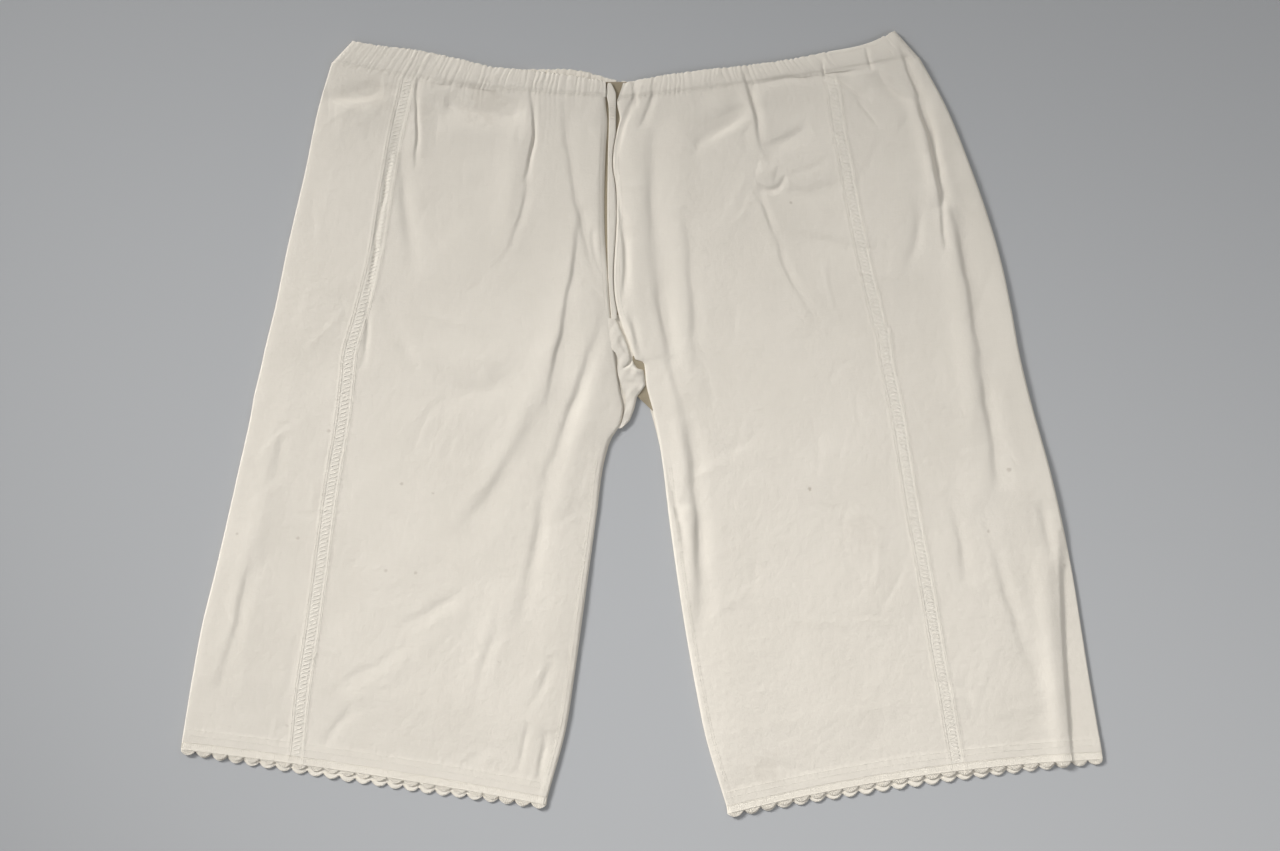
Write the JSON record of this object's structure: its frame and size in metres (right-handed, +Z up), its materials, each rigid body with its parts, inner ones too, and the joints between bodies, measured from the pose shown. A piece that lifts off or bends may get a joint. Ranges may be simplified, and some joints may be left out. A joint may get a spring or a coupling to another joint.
{
  "type": "drawers laid flat",
  "caption": "Loose knee-length cotton drawers, laid flat on their back, with a gathered waist casing, a front opening, side insertions and scalloped hems.",
  "frame": {"origin": "the middle of the garment's outline on the surface it lies on", "axes": "+X towards the wearer's left leg, which is the viewer's right; +Y from the hems to the waist; +Z up out of the front, away from the surface"},
  "size_m": [0.83, 0.7074, 0.0072],
  "materials": {
    "right_front": "matt plain-woven cotton",
    "left_front": "matt plain-woven cotton",
    "right_back": "matt plain-woven cotton",
    "left_back": "matt plain-woven cotton",
    "right_waist_casing": "matt plain-woven cotton",
    "left_waist_casing": "matt plain-woven cotton",
    "front_facing": "matt plain-woven cotton",
    "crotch_gusset": "matt plain-woven cotton",
    "right_side_insertion": "matt cotton openwork tape",
    "left_side_insertion": "matt cotton openwork tape",
    "right_hem_edging": "matt cotton needle lace",
    "left_hem_edging": "matt cotton needle lace"
  },
  "bodies": {
    "root": {"right_front": "right_front", "left_front": "left_front", "right_back": "right_back", "left_back": "left_back", "right_waist_casing": "right_waist_casing", "left_waist_casing": "left_waist_casing", "front_facing": "front_facing", "crotch_gusset": "crotch_gusset", "right_side_insertion": "right_side_insertion", "left_side_insertion": "left_side_insertion", "right_hem_edging": "right_hem_edging", "left_hem_edging": "left_hem_edging"}
  },
  "joints": []
}
